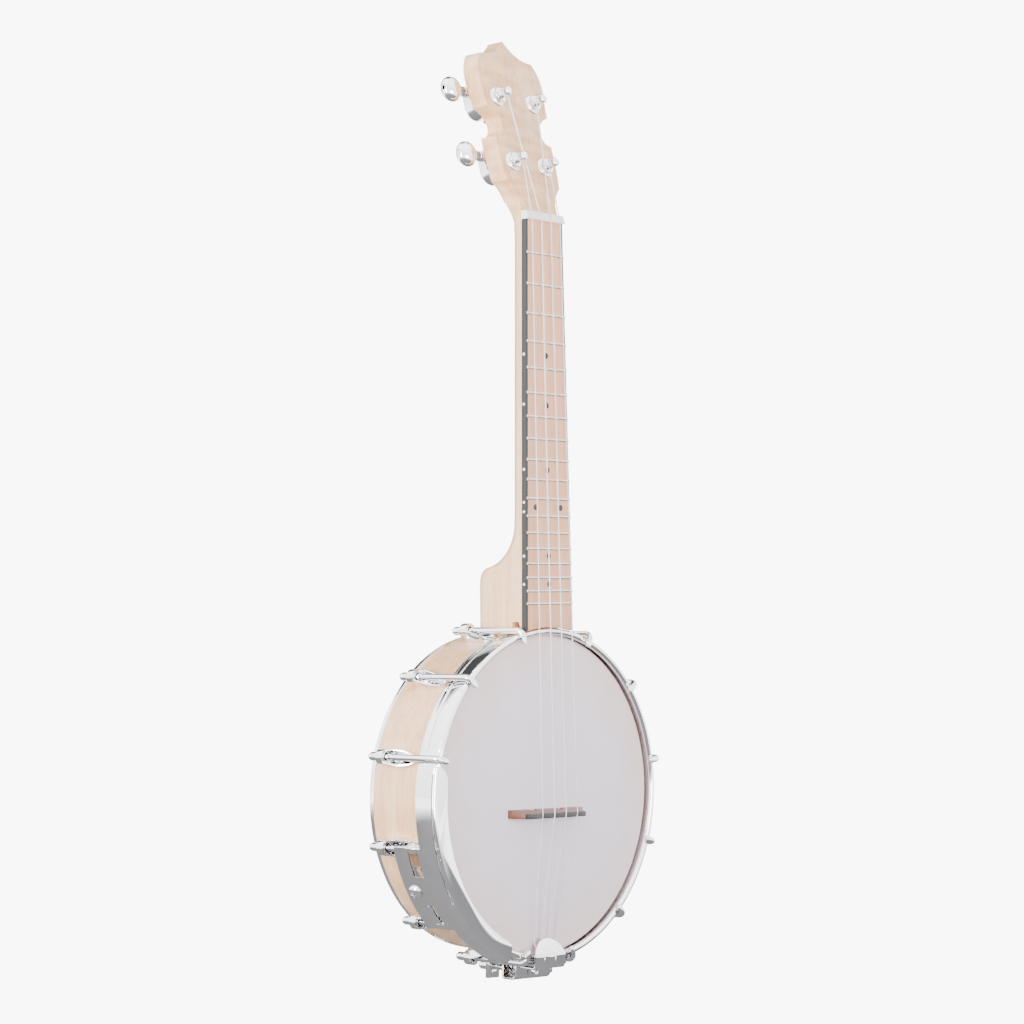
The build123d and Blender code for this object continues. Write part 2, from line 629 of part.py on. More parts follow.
# ---------------------------------------------------------------- armrest
def make_armrest():
    """Pressed plate: a flange over the hoop, a skirt down its side and a tab behind two hooks."""
    middle = SHEET / 2
    line = FilletPolyline((ARMREST_INNER, -2.8), (ARMREST_OUTER - middle, -2.8),
                          (ARMREST_OUTER - middle, 12.2), radius=1.6)
    plate = drum_ring(trace(line, line_width=SHEET), ARMREST_START, ARMREST_END - ARMREST_START)
    inner_wall = ARMREST_OUTER - SHEET
    plate += drum_sector(inner_wall, ARMREST_OUTER, 11.8, 34.8, -135, -104)
    # Window and sprung tongue where the plate grips its two hooks.
    plate -= drum_sector(inner_wall - 1, ARMREST_OUTER + 1, 14.8, 23.0, -113.7, -104.9)
    plate -= drum_sector(inner_wall - 1, ARMREST_OUTER + 1, 17.2, 19.6, -132.4, -124.6)
    for start in (-125.0, -132.8):
        plate -= drum_sector(inner_wall - 1, ARMREST_OUTER + 1, 17.2, 23.4, start, start + 0.4)
    # A relief slot runs along the fold beside the tab.
    plate -= drum_sector(inner_wall - 0.5, ARMREST_OUTER + 1, -2.1, -0.9, -123, -80)
    plate -= radial_cylinder(-119.5, BOLT_RADIUS + 0.1, 100, 120, 27)
    for corner_angle, radius in ((ARMREST_END, 9.0), (ARMREST_START, 5.0)):
        plate -= flange_corner(corner_angle, radius)
    return plate


def flange_corner(angle, radius):
    """What rounding takes off the flange's inner corner at one end."""
    inward = -1 if angle == ARMREST_END else 1
    block = Pos(ARMREST_INNER, 0, -3) * Box(2 * radius, 2 * radius, 4)
    pin = bored(radius, -6, 0, ARMREST_INNER + radius, inward * radius)
    return radial_plane(angle) * (block - pin)


def make_armrest_clamp():
    """Curved bar inside the hooks that the armrest's screw draws outwards."""
    clamp = drum_sector(CLAMP_INNER, CLAMP_OUTER, 14.4, 21.4, -137, -103)
    clamp += drum_sector(CLAMP_INNER, CLAMP_OUTER, 21.0, 32.0, -127.5, -111.5)
    return clamp - radial_cylinder(-119.5, BOLT_RADIUS, 100, 120, 27)


def domed_screw(shank_low, seat, head_radius, head_height):
    """Screw along Z with a domed head and a cross recess above its seat."""
    rim = 0.5
    dome = ThreePointArc((head_radius, seat + rim), (head_radius * 0.62, seat + 0.8 * head_height),
                         (0, seat + head_height))
    sides = Polyline((0, seat + head_height), (0, shank_low), (BOLT_RADIUS, shank_low),
                     (BOLT_RADIUS, seat), (head_radius, seat), (head_radius, seat + rim))
    screw = revolve(Plane.XZ * make_face(Curve() + [dome, sides]), axis=Axis.Z)
    for size in ((0.9, 4.6, 1.4), (4.6, 0.9, 1.4)):
        screw -= Pos(0, 0, seat + head_height) * Box(*size)
    return screw


def make_armrest_screw():
    spoke = Plane(origin=(0, 0, 27), x_dir=(0, 1, 0), z_dir=(1, 0, 0))
    return radial_plane(-119.5) * (spoke * domed_screw(104.0, ARMREST_OUTER + 0.05, 4.9, 2.5))


# ---------------------------------------------------------------- tailpiece
def make_tail_cover():
    """Cover with a rounded nose and two pressed ribs, folded down over the tension hoop."""
    points = [(90.4, 2.1), (96.0, -0.1), (101.0, -1.9), (109.4, -1.9), (109.4, 11.0)]
    cover = sheet_metal(points, [8, 8, 2.4], SHEET, 14.0)
    tongue = [(109.4, 9.0), (109.4, 11.1), (115.8, 11.1)]
    cover += sheet_metal(tongue, [0.9], SHEET, 5.5)
    nose = Pos(106.2, 0) * Circle(15.2) + Pos(109.0, 0) * Rectangle(16, 28.4)
    cover &= Pos(0, 0, -10) * extrude(nose + Pos(115, 0) * Rectangle(12, 28.4), amount=40)
    for side in (-1, 1):
        rib = Plane(origin=(96.5, side * 5.2, -1.0), z_dir=(1, 0, -0.13)) * bored(0.75, 0, 9)
        cover += rib
    cover = radial_plane(TAIL_ANGLE) * cover
    return cover - tail_screw_room(BOLT_RADIUS + 0.1)


def tail_screw_room(radius):
    return radial_plane(TAIL_ANGLE) * bored(radius, 5, 16, TAIL_BOLT_LINE, 0)


def make_tail_base():
    """Channel behind the hoop: a notched lug for the string balls, a front plate and a back plate."""
    points = [(106.9, -1.2), (106.9, 12.4), (117.0, 12.4), (117.0, 23.4), (108.6, 23.4)]
    base = sheet_metal(points, [1.0, 3.6, 1.6], 1.2, 16.5)
    wing = Pos(112.7, -18.5, 13.7) * Rot(-30, 0, 0) * Box(4.2, 6.0, 1.2)
    base = radial_plane(TAIL_ANGLE) * (base + wing)
    base -= tail_screw_room(BOLT_RADIUS)
    base -= radial_plane(TAIL_ANGLE) * bored(BOLT_RADIUS, 20, 30, TAIL_BOLT_LINE, 0)
    for index in range(4):
        base -= make_string(index, STRING_CLEARANCE + 0.1)
    return base


def make_tail_screw():
    line = TAIL_BOLT_LINE
    screw = bored(BOLT_RADIUS, 9.4, 15.5, line, 0) + bored(2.75, 9.2, 10.55, line, 0)
    screw = fillet(screw.edges().group_by(Axis.Z)[0], 0.9)
    for size in ((3.4, 0.7, 1.0), (0.7, 3.4, 1.0)):
        screw -= Pos(line, 0, 9.3) * Box(*size)
    return radial_plane(TAIL_ANGLE) * screw


def make_tail_hanger():
    """Angle bracket under the rod's end nut that carries the tailpiece's long bolt."""
    foot = drum_sector(RIM_OUTER, 103.4, 29.5, 49.0, 175.6, 184.4)
    lug = Pos(111.2, 0, 47.5) * Box(18.0, 10.0, 3.0)
    lug = radial_plane(TAIL_ANGLE) * (lug - bored(BOLT_RADIUS, 40, 60, TAIL_BOLT_LINE, 0))
    hanger = foot + (lug - drum_cylinder(RIM_OUTER, 0, 60))
    return hanger - radial_cylinder(180, ROD_THREAD_RADIUS, 95, 110, ROD_Y)


def make_tail_bolt():
    bolt = bored(BOLT_RADIUS, 21.0, 57.0, TAIL_BOLT_LINE, 0)
    bolt += bored(2.6, 21.0, 22.75, TAIL_BOLT_LINE, 0)
    return radial_plane(TAIL_ANGLE) * bolt


# ---------------------------------------------------------------- coordinator rod
def make_rod():
    low, high = POT_Z - RIM_OUTER - 7.9, POT_Z + RIM_OUTER + 19
    rod = bored(ROD_THREAD_RADIUS, low, high, 0, ROD_Y)
    return rod + bored(ROD_RADIUS, POT_Z - 84, POT_Z + 84, 0, ROD_Y)


def make_rod_nuts():
    """Hexagon nuts inside the rim at both ends and one outside at the tail."""
    def nut(low, high):
        hexagon = Pos(0, ROD_Y, low) * extrude(RegularPolygon(6.2, 6), amount=high - low)
        return hexagon - bored(ROD_THREAD_RADIUS, low - 1, high + 1, 0, ROD_Y)
    inside = drum_cylinder(RIM_INNER, 0, 60)
    return [nut(POT_Z + 86, POT_Z + 93) & inside, nut(POT_Z - 93, POT_Z - 86) & inside,
            nut(POT_Z - 108.4, POT_Z - 103.4)]


# ---------------------------------------------------------------- bridge
def slanted(solid):
    """Turned on the drum head, as a bridge is set to correct the thicker strings."""
    turn = Rot(0, BRIDGE_SLANT, 0) * Pos(-BRIDGE_X, 0, SCALE_LENGTH)
    return Pos(BRIDGE_X, 0, -SCALE_LENGTH) * turn * solid


def make_bridge_body():
    """Wedge of wood on three feet; the neck side slopes and the tail side is square to the head."""
    back = BRIDGE_BACK
    cap_seat = BRIDGE_TOP_Y + CAP_HEIGHT
    foot_y = HEAD_Y - 0.02
    body = side_prism([(foot_y, back), (cap_seat, back), (cap_seat, back + CAP_WIDTH),
                       (foot_y - 3.4, back + 5.0), (foot_y, back + 5.3)], -60, 60)
    half, half_cap = BRIDGE_LENGTH / 2, CAP_LENGTH / 2
    left_cap, right_cap = CAP_X - half_cap, CAP_X + half_cap
    outline = Curve() + [
        Polyline((BRIDGE_X - half, 2.8), (BRIDGE_X - half, foot_y), (BRIDGE_X + half, foot_y),
                 (BRIDGE_X + half, 2.8)),
        ThreePointArc((BRIDGE_X + half, 2.8), (right_cap + 2.4, -0.9), (right_cap, cap_seat)),
        Line((right_cap, cap_seat), (left_cap, cap_seat)),
        ThreePointArc((left_cap, cap_seat), (left_cap - 2.0, -0.9), (BRIDGE_X - half, 2.8)),
    ]
    face = make_face(outline)
    for x in (-14.0, 10.8):
        arch = Pos(x, foot_y) * scale(Circle(1), by=(3.4, 4.4, 1))
        face -= arch
    shape = Pos(0, 0, back - 1) * extrude(face, amount=10)
    return slanted(body & shape)


def make_bridge_cap():
    middle = BRIDGE_BACK + CAP_WIDTH / 2
    cap = Pos(CAP_X, BRIDGE_TOP_Y + CAP_HEIGHT / 2, middle) * Box(CAP_LENGTH, CAP_HEIGHT, CAP_WIDTH)
    cap = slanted(fillet(cap.edges().filter_by(Axis.X).group_by(Axis.Y)[0], 0.5))
    for index in range(4):
        cap -= make_string(index, STRING_CLEARANCE)
    return cap


# ---------------------------------------------------------------- the whole instrument
def build():
    parts = {
        "neck": make_neck(),
        "fretboard": make_fretboard(),
        "fretboard_binding": make_binding(),
        "frets": group(make_fret(number) for number in range(1, FRET_COUNT + 1)),
        "position_dots": group(face_dots()),
        "side_dots": group(side_dots()),
        "nut": make_nut(),
        "rim": make_rim(),
        "tone_ring": make_tone_ring(),
        "drum_head": make_drum_head(),
        "head_collar": make_head_collar(),
        "flesh_hoop": make_flesh_hoop(),
        "tension_hoop": make_tension_hoop(),
        "back_ring": make_back_ring(),
        "bracket_shoes": group(make_shoe(angle) for angle in HOOK_ANGLES),
        "bracket_bolts": group(make_bracket_bolt(angle) for angle in HOOK_ANGLES),
        "hooks": group(make_hook(angle) for angle in HOOK_ANGLES),
        "armrest": make_armrest(),
        "armrest_clamp": make_armrest_clamp(),
        "tailpiece_cover": make_tail_cover(),
        "tailpiece_base": make_tail_base(),
        "cover_screws": group([make_armrest_screw(), make_tail_screw()]),
        "tailpiece_hanger": make_tail_hanger(),
        "tailpiece_bolt": make_tail_bolt(),
        "coordinator_rod": make_rod(),
        "rod_nuts": group(make_rod_nuts()),
        "bridge_body": make_bridge_body(),
        "bridge_cap": make_bridge_cap(),
    }
    nuts = [radial_plane(angle) * long_nut(HOOK_LINE, HOOK_RADIUS) for angle in HOOK_ANGLES]
    nuts.append(radial_plane(TAIL_ANGLE) * long_nut(TAIL_BOLT_LINE, BOLT_RADIUS))
    parts["hook_nuts"] = group(nuts)
    every_post = range(len(POSTS))
    parts["tuner_barrel_nuts"] = group(at_post(i, make_barrel_nut()) for i in every_post)
    parts["tuner_washers"] = group(at_post(i, make_tuner_washer()) for i in every_post)
    parts["tuner_screws"] = group(at_post(i, make_tuner_screw()) for i in every_post)
    for i in every_post:
        out = button_side(i)
        name = f"tuner_{i + 1}_"
        parts[name + "housing"] = at_post(i, make_housing(out))
        parts[name + "worm"] = at_worm(i, make_worm(out))
        parts[name + "button"] = at_worm(i, make_button(out))
        parts[name + "button_screw"] = at_worm(i, make_button_screw(out))
        parts[name + "wheel"] = at_post(i, make_wheel())
        parts[name + "post"] = at_post(i, make_post())
        parts[f"string_{i + 1}"] = make_string(i)
    return parts


os.makedirs("parts", exist_ok=True)
for node, shape in build().items():
    export_step(shape, f"parts/{node}.step")
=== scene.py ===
import json
import math

import bpy
from mathutils import Matrix, Vector

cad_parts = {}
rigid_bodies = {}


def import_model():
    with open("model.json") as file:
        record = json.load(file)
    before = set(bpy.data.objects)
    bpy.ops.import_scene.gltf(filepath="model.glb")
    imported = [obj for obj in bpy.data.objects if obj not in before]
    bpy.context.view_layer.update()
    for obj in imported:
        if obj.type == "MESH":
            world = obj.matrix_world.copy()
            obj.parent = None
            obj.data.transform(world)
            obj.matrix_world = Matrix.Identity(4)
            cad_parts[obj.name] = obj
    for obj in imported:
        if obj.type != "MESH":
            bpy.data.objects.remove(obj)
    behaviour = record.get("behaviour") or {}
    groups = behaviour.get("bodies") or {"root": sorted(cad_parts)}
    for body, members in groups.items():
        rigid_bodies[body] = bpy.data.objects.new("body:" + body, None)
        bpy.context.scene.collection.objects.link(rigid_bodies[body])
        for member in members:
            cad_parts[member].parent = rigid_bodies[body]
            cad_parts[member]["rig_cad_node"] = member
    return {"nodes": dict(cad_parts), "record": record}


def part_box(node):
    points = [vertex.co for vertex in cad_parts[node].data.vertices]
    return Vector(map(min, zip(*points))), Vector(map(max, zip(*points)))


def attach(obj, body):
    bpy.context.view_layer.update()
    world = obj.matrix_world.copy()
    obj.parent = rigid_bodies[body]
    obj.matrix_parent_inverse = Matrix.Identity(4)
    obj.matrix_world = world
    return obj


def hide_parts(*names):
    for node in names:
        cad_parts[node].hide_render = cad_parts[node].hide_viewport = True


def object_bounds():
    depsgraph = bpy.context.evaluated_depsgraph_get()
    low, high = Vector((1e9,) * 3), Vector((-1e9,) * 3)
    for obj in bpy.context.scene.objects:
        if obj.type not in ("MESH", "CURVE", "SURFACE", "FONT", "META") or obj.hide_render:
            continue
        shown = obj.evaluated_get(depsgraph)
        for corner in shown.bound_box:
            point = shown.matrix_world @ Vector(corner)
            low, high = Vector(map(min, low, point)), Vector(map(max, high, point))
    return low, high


bl_info = {
    "name": "Concert banjo ukulele",
    "version": (1, 0, 0),
    "blender": (4, 5, 0),
    "location": "View3D > Sidebar > Banjo",
    "description": "Finishes and detailed pieces for a banjo ukulele built around its CAD frame",
    "category": "Object",
}

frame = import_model()
CAD = frame["nodes"]
CAD_BOX = [list(corner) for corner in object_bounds()]

MM = 0.001
ROOT = "instrument"
POT_Z = sum(corner[2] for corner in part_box("drum_head")) / 2    # height of the drum's centre
HEAD_REACH = 104 * MM       # the head's tint runs from its centre out to here
EDGE_ANGLE = math.radians(38.0)     # sharper corners than this are edges
POLISH_HAZE = 0.03          # how much the roughness of polished metal varies
FLOOR_SIZE = 16.0
SWEEP_LEVEL = 9.0           # brightness of the lit sweep behind the instrument
FILL_LEVEL = 2.2            # soft light of the white room on everything
SHINE_LEVEL = 4.8           # brightness of the softboxes that polished metal mirrors


def linear(hex_colour):
    """sRGB hex to the linear RGBA that a shader socket takes."""
    channels = [int(hex_colour[i:i + 2], 16) / 255 for i in (1, 3, 5)]
    low = [c / 12.92 if c <= 0.04045 else ((c + 0.055) / 1.055) ** 2.4 for c in channels]
    return (*low, 1.0)


# ------------------------------------------------------------------ settings
class BanjoFinishes(bpy.types.PropertyGroup):
    maple_light: bpy.props.StringProperty(
        name="Maple, light", description="Pale wood between the grain lines", default="#F5CB9F")
    maple_dark: bpy.props.StringProperty(
        name="Maple, dark", description="Wood along the grain lines", default="#DDA274")
    board_light: bpy.props.StringProperty(
        name="Fretboard, light", description="Pale fretboard wood", default="#EBB08C")
    board_dark: bpy.props.StringProperty(
        name="Fretboard, dark", description="Fretboard wood along the grain", default="#D6946E")
    skin: bpy.props.StringProperty(
        name="Drum head", description="Frosted head in its middle", default="#E9DEEA")
    skin_edge: bpy.props.StringProperty(
        name="Drum head edge", description="Frosted head towards its rim", default="#E8CCC2")
    bridge: bpy.props.StringProperty(
        name="Bridge", description="Reddish wood of the bridge", default="#7A4630")
    nylon: bpy.props.StringProperty(
        name="Strings", description="Clear nylon of the strings", default="#E9E4EE")


class BanjoSizes(bpy.types.PropertyGroup):
    wood_round: bpy.props.FloatProperty(
        name="Wood edge", description="Rounding of the wooden edges", default=0.9 * MM,
        unit="LENGTH", min=0.0)
    metal_round: bpy.props.FloatProperty(
        name="Metal edge", description="Rounding of the plated edges", default=0.22 * MM,
        unit="LENGTH", min=0.0)
    floor_gap: bpy.props.FloatProperty(
        name="Floor gap", description="Height of the hanging instrument above the floor",
        default=0.06, unit="LENGTH", min=0.0)


# ------------------------------------------------------------------ materials
def new_material(name):
    material = bpy.data.materials.new(name)
    material.use_nodes = True
    material.node_tree.nodes.clear()
    return material


def add_node(material, kind, settings=None, **inputs):
    """Adds a node; an input is a value, or a (node, output name) pair to link."""
    tree = material.node_tree
    node = tree.nodes.new(kind)
    for key, value in (settings or {}).items():
        setattr(node, key, value)
    for key, value in inputs.items():
        by_number = key[0] == "i" and key[1:].isdigit()
        socket = node.inputs[int(key[1:]) if by_number else key.replace("_", " ")]
        if isinstance(value, tuple) and len(value) == 2 and isinstance(value[0], bpy.types.Node):
            tree.links.new(value[0].outputs[value[1]], socket)
        else:
            socket.default_value = value
    return node


def finish_material(material, shader):
    output = add_node(material, "ShaderNodeOutputMaterial")
    material.node_tree.links.new(shader.outputs[0], output.inputs["Surface"])
    return material


def colour_ramp(material, factor, stops):
    ramp = add_node(material, "ShaderNodeValToRGB", Fac=factor)
    elements = ramp.color_ramp.elements
    while len(elements) < len(stops):
        elements.new(0.5)
    for element, (place, colour) in zip(elements, stops):
        element.position = place
        element.color = linear(colour)
    return ramp


def bump(material, height, strength, distance):
    return add_node(material, "ShaderNodeBump", Height=height, Strength=strength, Distance=distance)


def maple(name, light, dark, along_scale, flame_and_shade_depth, roughness=0.32):
    """Hard maple under a clear satin lacquer: pale, with fine straight pores along the grain and,
    where it is flamed, soft ripples across it, which also darken the headstock as a whole; that
    darkening is painted shade."""
    material = new_material(name)
    place = add_node(material, "ShaderNodeTexCoord")
    # Pores about a millimetre apart, drawn out some thirty times along the grain.
    stretch = add_node(material, "ShaderNodeMapping", Vector=(place, "Object"),
                       Scale=(1.0, 1.0, along_scale))
    pores = add_node(material, "ShaderNodeTexNoise", Vector=(stretch, "Vector"),
                     Scale=1 / (1.6 * MM), Detail=4.0, Roughness=0.6)
    # Growth rings stand a few millimetres apart.
    rings = add_node(material, "ShaderNodeTexNoise", Vector=(stretch, "Vector"),
                     Scale=1 / (9 * MM), Detail=3.0, Roughness=0.55)
    both = add_node(material, "ShaderNodeMix", {"data_type": "FLOAT"}, Factor=0.5,
                    i2=(pores, "Fac"), i3=(rings, "Fac"))
    colour = colour_ramp(material, (both, "Result"), [(0.34, dark), (0.62, light)])
    final = (colour, "Color")
    if flame_and_shade_depth:
        # Flame ripples about seven millimetres apart, across the grain, multiplied in from just below
        # the nut and strongest on the headstock: partly real flame, partly painted shade that darkens
        # the headstock.
        ripple_place = add_node(material, "ShaderNodeMapping", Vector=(place, "Object"),
                                Scale=(0.30, 0.30, 1.0))
        ripple = add_node(material, "ShaderNodeTexNoise", Vector=(ripple_place, "Vector"),
                          Scale=1 / (6.5 * MM), Detail=1.5, Roughness=0.45)
        shade = colour_ramp(material, (ripple, "Fac"), [(0.36, "#D9C6A6"), (0.60, "#FFFFFF")])
        height = add_node(material, "ShaderNodeSeparateXYZ", Vector=(place, "Object"))
        # Painted shade: this mask darkens the wood more towards and over the headstock.
        flame_and_painted_shade_mask = add_node(material, "ShaderNodeMapRange", Value=(height, "Z"), From_Min=-10 * MM,
                           From_Max=15 * MM, To_Min=0.12, To_Max=flame_and_shade_depth)
        mix = add_node(material, "ShaderNodeMix", {"data_type": "RGBA", "blend_type": "MULTIPLY"},
                       Factor=(flame_and_painted_shade_mask, "Result"), i6=(colour, "Color"), i7=(shade, "Color"))
        final = (mix, "Result")
    relief = bump(material, (pores, "Fac"), 0.05, 0.1 * MM)
    shader = add_node(material, "ShaderNodeBsdfPrincipled", Base_Color=final, Roughness=roughness,
                      Normal=(relief, "Normal"))
    shader.inputs["Coat Weight"].default_value = 0.2
    shader.inputs["Coat Roughness"].default_value = 0.12
    return finish_material(material, shader)


def plated(name, colour, roughness, haze_size):
    """Polished or plated metal: bright, with a faint haze left by the buffing wheel."""
    material = new_material(name)
    place = add_node(material, "ShaderNodeTexCoord")
    haze = add_node(material, "ShaderNodeTexNoise", Vector=(place, "Object"), Scale=1 / haze_size,
                    Detail=3.0)
    rough = add_node(material, "ShaderNodeMapRange", Value=(haze, "Fac"), To_Min=roughness,
                     To_Max=roughness + POLISH_HAZE)
    shader = add_node(material, "ShaderNodeBsdfPrincipled", Base_Color=linear(colour), Metallic=1.0,
                      Roughness=(rough, "Result"))
    return finish_material(material, shader)


def moulded(name, colour, roughness, coat=0.0):
    """Moulded plastic or cut bone: even colour with a texture of a few tenths of a millimetre."""
    material = new_material(name)
    place = add_node(material, "ShaderNodeTexCoord")
    speck = add_node(material, "ShaderNodeTexNoise", Vector=(place, "Object"), Scale=1 / (0.4 * MM),
                     Detail=2.0)
    relief = bump(material, (speck, "Fac"), 0.04, 0.05 * MM)
    shader = add_node(material, "ShaderNodeBsdfPrincipled", Base_Color=linear(colour),
                      Roughness=roughness, Normal=(relief, "Normal"))
    shader.inputs["Coat Weight"].default_value = coat
    return finish_material(material, shader)


def frosted_skin(finishes):
    """Frosted polyester drum head: a milky film sprayed with a fine coat, faintly clouded."""
    material = new_material("frosted_polyester_head")
    place = add_node(material, "ShaderNodeTexCoord")
    centred = add_node(material, "ShaderNodeMapping", Vector=(place, "Object"),
                       Location=(0, 0, -POT_Z / HEAD_REACH), Scale=(1 / HEAD_REACH,) * 3)
    round_face = add_node(material, "ShaderNodeTexGradient", {"gradient_type": "SPHERICAL"},
                          Vector=(centred, "Vector"))
    clouds = add_node(material, "ShaderNodeTexNoise", Vector=(place, "Object"), Scale=1 / (38 * MM),
                      Detail=4.0, Roughness=0.62)
    sum_up = add_node(material, "ShaderNodeMath", {"operation": "MULTIPLY_ADD"},
                      i0=(clouds, "Fac"), i1=0.7, i2=(round_face, "Fac"))
    colour = colour_ramp(material, (sum_up, "Value"),
                         [(0.22, finishes.skin_edge), (0.72, finishes.skin)])
    # The sprayed coat has a grit of a few tenths of a millimetre.
    grit = add_node(material, "ShaderNodeTexNoise", Vector=(place, "Object"), Scale=1 / (0.5 * MM),
                    Detail=2.0)
    relief = bump(material, (grit, "Fac"), 0.10, 0.06 * MM)
    shader = add_node(material, "ShaderNodeBsdfPrincipled", Base_Color=(colour, "Color"),
                      Roughness=0.5, Normal=(relief, "Normal"))
    shader.inputs["Subsurface Weight"].default_value = 0.12
    shader.inputs["Subsurface Radius"].default_value = (0.002, 0.0015, 0.001)
    return finish_material(material, shader)


def clear_nylon(finishes):
    """Clear nylon monofilament: milky white with a soft shine."""
    material = new_material("nylon_monofilament")
    place = add_node(material, "ShaderNodeTexCoord")
    tone = add_node(material, "ShaderNodeTexNoise", Vector=(place, "Object"), Scale=1 / (12 * MM))
    colour = colour_ramp(material, (tone, "Fac"), [(0.3, "#D9D3DE"), (0.7, finishes.nylon)])
    shader = add_node(material, "ShaderNodeBsdfPrincipled", Base_Color=(colour, "Color"),
                      Roughness=0.25)
    return finish_material(material, shader)


def make_materials():
    """Every finish of the instrument by the record's slot name."""
    finishes = bpy.context.scene.banjo_finishes
    return {
        "maple": maple("lacquered_hard_maple", finishes.maple_light, finishes.maple_dark, 0.035, 0.0),
        # Neck and headstock maple: its flame ripples carry painted shade that darkens the headstock.
        "headstock": maple("flame_maple_with_painted_shade", finishes.maple_light, finishes.maple_dark,
                           0.035, 0.55),
        "fretboard_maple": maple("oiled_fretboard_maple", finishes.board_light, finishes.board_dark,
                                 0.03, 0.0, 0.42),
        # Black ABS strip, scraped and buffed level with the board.
        "black_binding": moulded("black_abs_binding", "#0B0A0C", 0.5),
        # Cupronickel fret wire, dressed and polished.
        "nickel_silver": plated("polished_nickel_silver", "#C9C5C0", 0.16, 4 * MM),
        "black_inlay": moulded("black_abs_dot", "#121113", 0.4),
        "white_inlay": moulded("white_abs_dot", "#EDEAE4", 0.4),
        "bone_white": moulded("polished_bone", "#F4F1EA", 0.3, 0.3),
        "nylon": clear_nylon(finishes),
        "bridge_wood": maple("oiled_rosewood_bridge", finishes.bridge, "#6B3A26", 0.06, 0.0, 0.4),
        "ebony": maple("polished_ebony", "#241D1D", "#131011", 0.05, 0.0, 0.3),
        # Rolled brass bar, bright and unlacquered.
        "brass": plated("bright_rolled_brass", "#D9B46A", 0.14, 6 * MM),
        # Cut steel worm under a film of grease.
        "steel": plated("ground_tool_steel", "#A3A3A8", 0.22, 3 * MM),
        "head_skin": frosted_skin(finishes),
        # Drawn aluminium wire under the hoop, satin rather than mirror bright.
        "hoop_aluminium": plated("satin_drawn_aluminium", "#DADADC", 0.24, 5 * MM),
        # Chromium over nickel on steel and zinc castings, mirror bright.
        "chrome": plated("bright_chromium_plate", "#E6E6E9", 0.045, 9 * MM),
    }


# ------------------------------------------------------------------ modelling helpers
def deselect_all():
    if bpy.context.object and bpy.context.object.mode != "OBJECT":
        bpy.ops.object.mode_set(mode="OBJECT")
    bpy.ops.object.select_all(action="DESELECT")


def make_active(obj):
    deselect_all()
    obj.hide_set(False)
    obj.select_set(True)
    bpy.context.view_layer.objects.active = obj


def apply_modifier(obj, kind, **settings):
    make_active(obj)
    modifier = obj.modifiers.new(kind.title(), kind)
    for key, value in settings.items():
        setattr(modifier, key, value)
    bpy.ops.object.modifier_apply(modifier=modifier.name)


def set_material(obj, material):
    obj.data.materials.clear()
    obj.data.materials.append(material)


def settle(obj, body, node):
    """The finished piece rides on its body, and its CAD node is hidden from view."""
    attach(obj, body)
    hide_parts(node)


def dressed_copy(node, name, rounding):
    """A copy of a CAD node as continuous faces with softened edges."""
    make_active(CAD[node])
    bpy.ops.object.duplicate()
    piece = bpy.context.object
    piece.name = piece.data.name = name
    del piece["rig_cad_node"]
    piece.parent = None
    bpy.ops.object.mode_set(mode="EDIT")
    bpy.ops.mesh.select_all(action="SELECT")
    bpy.ops.mesh.remove_doubles(threshold=0.002 * MM)
    bpy.ops.mesh.dissolve_limited(angle_limit=math.radians(0.4))
    bpy.ops.object.mode_set(mode="OBJECT")
    if piece.data.has_custom_normals:
        bpy.ops.mesh.customdata_custom_splitnormals_clear()
    if rounding:
        apply_modifier(piece, "BEVEL", width=rounding, segments=2, limit_method="ANGLE",
                       angle_limit=EDGE_ANGLE, use_clamp_overlap=True, harden_normals=False)
    make_active(piece)
    bpy.ops.object.shade_smooth_by_angle(angle=EDGE_ANGLE)
    return piece


# ------------------------------------------------------------------ operators
class BANJO_OT_wood(bpy.types.Operator):
    """Neck, fretboard, rim and bridge with softened edges and wooden finishes"""
    bl_idname = "banjo.wood"
    bl_label = "Wooden pieces"

    def execute(self, context):
        rounding = context.scene.banjo_sizes.wood_round
        pieces = {"neck": ("headstock", "maple", rounding), "rim": ("maple", "maple", 0.5 * MM),
                  "fretboard": ("fretboard_maple", "fretboard_maple", 0.1 * MM),
                  "bridge_body": ("bridge_wood", "bridge_wood", 0.3 * MM),
                  "bridge_cap": ("ebony", "ebony", 0.1 * MM)}
        for node, (finish, slot_name, edge) in pieces.items():
            piece = dressed_copy(node, node + "_shaped", edge)
            set_material(piece, MATERIALS[finish])
            settle(piece, ROOT, node)
        return {"FINISHED"}


class BANJO_OT_fittings(bpy.types.Operator):
    """Plated fittings as continuous faces with polished finishes; the chrome ones also get softened
    edges
    """
    bl_idname = "banjo.fittings"
    bl_label = "Plated fittings"

    def execute(self, context):
        rounding = context.scene.banjo_sizes.metal_round
        body_of = {n: b for b, names in frame["record"]["behaviour"]["bodies"].items() for n in names}
        slot_of = {row["node"]: row["material_slot"] for row in frame["record"]["subparts"]}
        for node, slot_name in slot_of.items():
            if slot_name in ("chrome", "hoop_aluminium", "brass", "steel", "nickel_silver"):
                edge = rounding if slot_name == "chrome" else 0.0
                piece = dressed_copy(node, node + "_polished", edge)
                set_material(piece, MATERIALS[slot_name])
                settle(piece, body_of[node], node)
        return {"FINISHED"}


class BANJO_OT_finishes(bpy.types.Operator):
    """Finishes on the pieces whose own shape is already right"""
    bl_idname = "banjo.finishes"
    bl_label = "Finishes"

    def execute(self, context):
        slot_of = {row["node"]: row["material_slot"] for row in frame["record"]["subparts"]}
        for node, obj in CAD.items():
            if not obj.hide_render:
                set_material(obj, MATERIALS[slot_of[node]])
        return {"FINISHED"}


